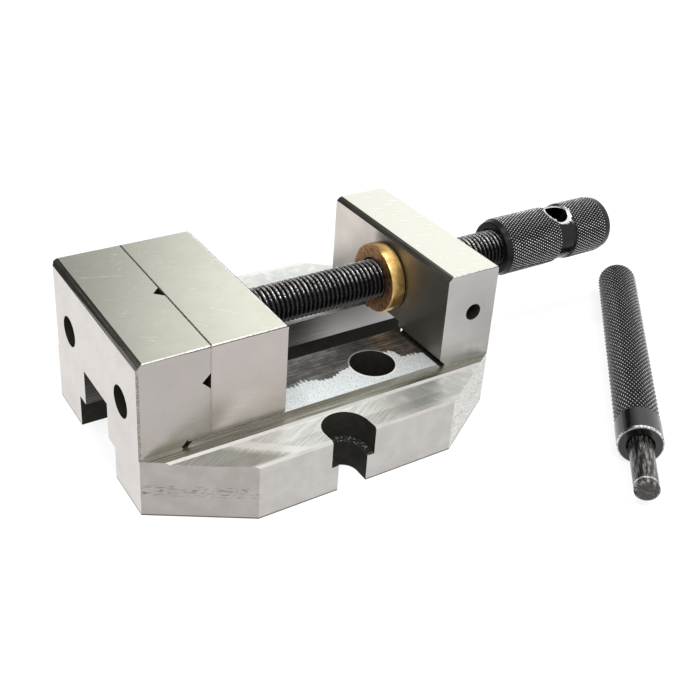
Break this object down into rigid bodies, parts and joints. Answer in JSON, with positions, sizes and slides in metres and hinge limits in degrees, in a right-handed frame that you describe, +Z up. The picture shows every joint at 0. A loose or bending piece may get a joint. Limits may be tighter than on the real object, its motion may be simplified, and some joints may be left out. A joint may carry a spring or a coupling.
{
  "type": "machine vise",
  "caption": "Low-profile ground steel screw vise with a sliding jaw, V-grooved fixed jaw, flanged bronze nut, knurled knob and a loose knurled tommy bar.",
  "frame": {"origin": "middle of the underside of the bounding box of the vise with its tommy bar beside it, on the surface it stands on", "axes": "+X along the screw from the fixed jaw towards the knob, +Y across the jaws, +Z up"},
  "size_m": [0.2018, 0.1392, 0.0467],
  "materials": {
    "ground_steel": "surface ground, fine straight lay",
    "hardened_steel": "hardened and ground",
    "black_oxide": "black oxide, oily satin",
    "black_oxide_knurl": "diamond knurl, black oxide",
    "bronze": "turned bronze, rubbed on the flange"
  },
  "bodies": {
    "base": {"base_body": "ground_steel", "fixed_jaw_plate": "ground_steel", "jaw_plate_screw_near": "black_oxide", "jaw_plate_screw_far": "black_oxide", "jaw_plate_dowel_near": "hardened_steel", "jaw_plate_dowel_far": "hardened_steel", "bronze_nut": "bronze", "nut_lock_screw": "black_oxide"},
    "moving_jaw": {"movable_jaw": "ground_steel", "keeper_plate": "ground_steel", "keeper_screw_front": "black_oxide", "keeper_screw_rear": "black_oxide", "screw_pin_near": "hardened_steel", "screw_pin_far": "hardened_steel", "thrust_ball": "hardened_steel"},
    "spindle": {"spindle": "black_oxide", "knob": "black_oxide_knurl", "knob_pin": "hardened_steel"},
    "tommy_bar": {"tommy_bar_grip": "black_oxide_knurl", "tommy_bar_pin": "black_oxide"}
  },
  "joints": [
    {"name": "jaw_slide", "type": "slide", "parent": "base", "child": "moving_jaw", "axis": [1, 0, 0], "range_m": [0, 0.046]},
    {"name": "spindle_turn", "type": "hinge", "parent": "moving_jaw", "child": "spindle", "pos_m": [-0.06906, 0.02408, 0.033], "axis": [1, 0, 0], "range_deg": [0, 11040]},
    {"name": "tommy_bar_lift", "type": "slide", "parent": "base", "child": "tommy_bar", "axis": [0, 0, 1], "range_m": [0, 0.06]}
  ],
  "couplings": [
    {"joint": "spindle_turn", "follows": "jaw_slide", "rad_per_m": 4188.8}
  ]
}
